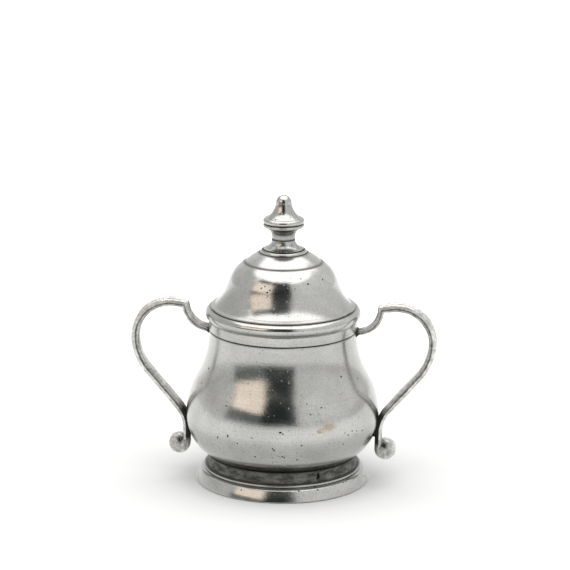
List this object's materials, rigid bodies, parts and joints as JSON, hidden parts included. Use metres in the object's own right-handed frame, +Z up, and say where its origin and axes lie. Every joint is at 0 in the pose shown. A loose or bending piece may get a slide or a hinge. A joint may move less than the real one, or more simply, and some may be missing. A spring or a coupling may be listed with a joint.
{
  "type": "covered sugar bowl",
  "caption": "Footed, round-bellied metal bowl with two scroll handles and a domed lift-off lid with a turned finial, for serving sugar.",
  "frame": {"origin": "centre of the foot's base, on the turning axis, where the bowl stands", "axes": "+Z up along the turning axis; +X towards the right-hand handle; +Y away from the viewer, across the handles"},
  "size_m": [0.1462, 0.0918, 0.1386],
  "materials": {
    "cast_pewter": "satin, turned and burnished, with dark patina in the lines",
    "rough_pewter": "as cast, lightly filed",
    "solder": "dull and darkened",
    "steel_screw": "plain turned steel"
  },
  "bodies": {
    "bowl": {"foot_ring": "cast_pewter", "foot_solder": "solder", "lower_bowl": "cast_pewter", "upper_bowl": "cast_pewter", "rim_collar": "cast_pewter", "left_handle": "rough_pewter", "right_handle": "rough_pewter", "upper_handle_solder": "solder", "lower_handle_solder": "solder"},
    "lid": {"lid_dome": "cast_pewter", "lid_bezel": "cast_pewter", "crown_disc": "cast_pewter", "finial_stem": "rough_pewter", "finial_knob": "cast_pewter", "lid_washer": "steel_screw", "finial_screw": "steel_screw"}
  },
  "joints": [
    {"name": "lid_lift", "type": "slide", "parent": "bowl", "child": "lid", "axis": [0, 0, 1], "range_m": [0, 0.1]}
  ]
}
